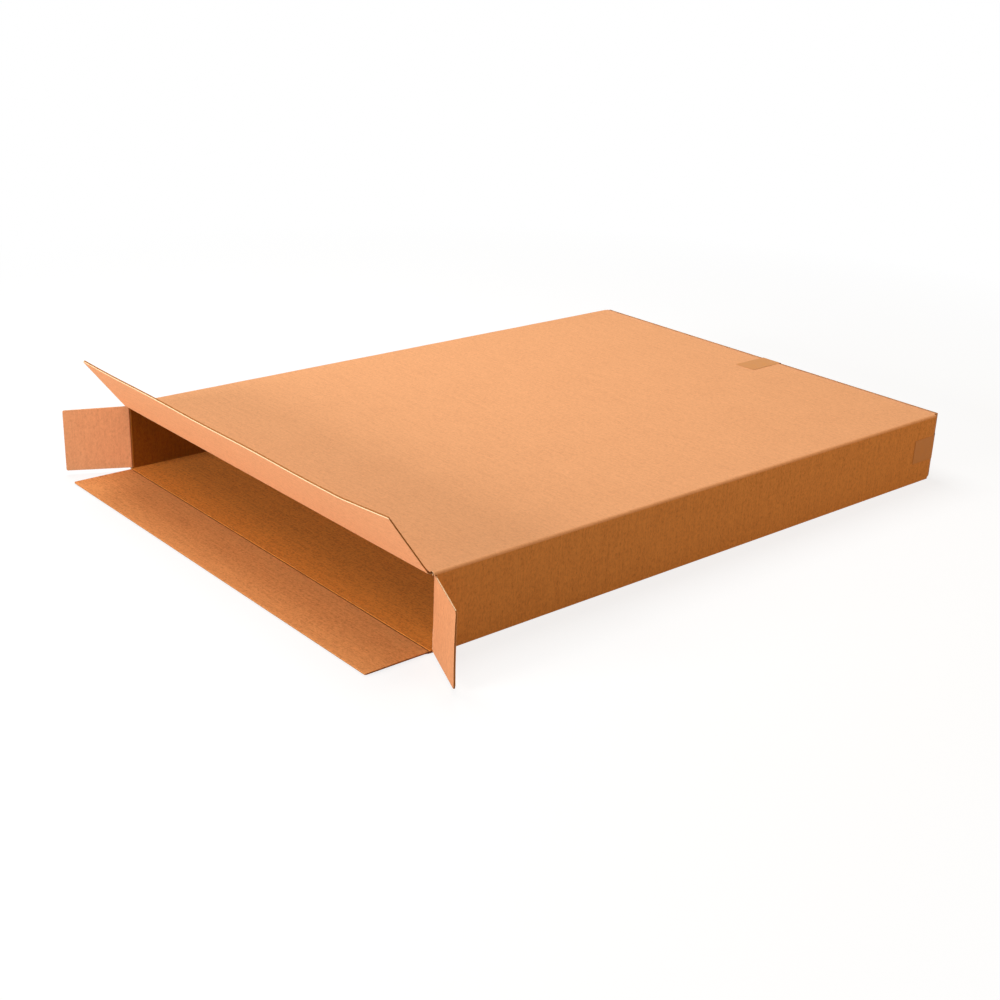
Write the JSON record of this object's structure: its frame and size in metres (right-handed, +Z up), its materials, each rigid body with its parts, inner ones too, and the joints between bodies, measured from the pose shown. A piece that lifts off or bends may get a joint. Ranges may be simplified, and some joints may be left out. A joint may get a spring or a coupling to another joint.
{
  "type": "cardboard shipping box",
  "caption": "Wide, shallow side-loading shipping box of corrugated board, lying flat: the far end shut and taped, the near end open with its flaps folded outward on their creases.",
  "frame": {"origin": "on the ground, at the middle of the box's footprint without its open flaps", "axes": "+X from the open end to the shut and taped end, +Y across the width to the back panel, +Z up"},
  "size_m": [1.3666, 1.077, 0.2356],
  "materials": {
    "board": "brown kraft liner, matte",
    "tape": "tan film, low sheen"
  },
  "bodies": {
    "box": {"box_body": "board", "side_tape": "tape", "cross_tape": "tape"},
    "top": {"top_flap": "board"},
    "bottom": {"bottom_flap": "board"},
    "back": {"back_flap": "board"},
    "front": {"front_flap": "board"}
  },
  "joints": [
    {"name": "top_crease", "type": "hinge", "parent": "box", "child": "top", "pos_m": [-0.6311, 0, 0.131], "axis": [0, 1, 0], "range_deg": [-142, 68]},
    {"name": "bottom_crease", "type": "hinge", "parent": "box", "child": "bottom", "pos_m": [-0.6268, 0, 0.002], "axis": [0, -1, 0], "range_deg": [-90, 120]},
    {"name": "back_crease", "type": "hinge", "parent": "box", "child": "back", "pos_m": [-0.6225, 0.458, 0.0665], "axis": [0, 0, -1], "range_deg": [-114, 96]},
    {"name": "front_crease", "type": "hinge", "parent": "box", "child": "front", "pos_m": [-0.6225, -0.458, 0.0665], "axis": [0, 0, 1], "range_deg": [-156, 54]}
  ]
}
